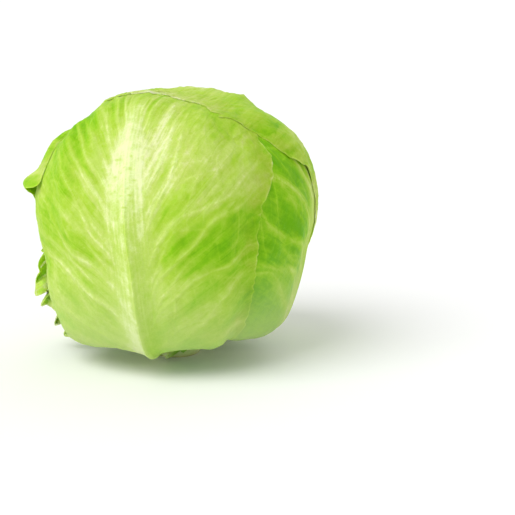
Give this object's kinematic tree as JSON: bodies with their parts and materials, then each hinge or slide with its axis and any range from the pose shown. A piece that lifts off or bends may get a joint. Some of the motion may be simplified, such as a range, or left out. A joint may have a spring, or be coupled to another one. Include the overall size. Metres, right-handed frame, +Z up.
{
  "type": "iceberg lettuce",
  "caption": "Whole round head of crisp lettuce, with broad ribbed wrapper leaves lapped over a tight heart, standing on its cut stem",
  "frame": {"origin": "middle of the stem's flat cut face, which the head stands on", "axes": "+Z up along the stem, -Y to the front, where the leaf with the broad pale midrib faces, +X to the right as seen from the front"},
  "size_m": [0.1682, 0.1585, 0.1543],
  "materials": {
    "stem": "pale cut stem, dull and a little browned on the cut face",
    "heart": "pale yellow leaf, satin",
    "head_leaf": "light yellow-green leaf, satin",
    "wrapper_leaf": "waxy green leaf with pale ribs and veins, satin"
  },
  "bodies": {
    "root": {"stem": "stem", "heart": "heart", "head_leaf_1": "head_leaf", "head_leaf_2": "head_leaf", "head_leaf_3": "head_leaf", "head_leaf_4": "head_leaf", "wrapper_leaf_right": "wrapper_leaf", "wrapper_leaf_left": "wrapper_leaf", "wrapper_leaf_front": "wrapper_leaf", "wrapper_leaf_back": "wrapper_leaf"}
  },
  "joints": []
}
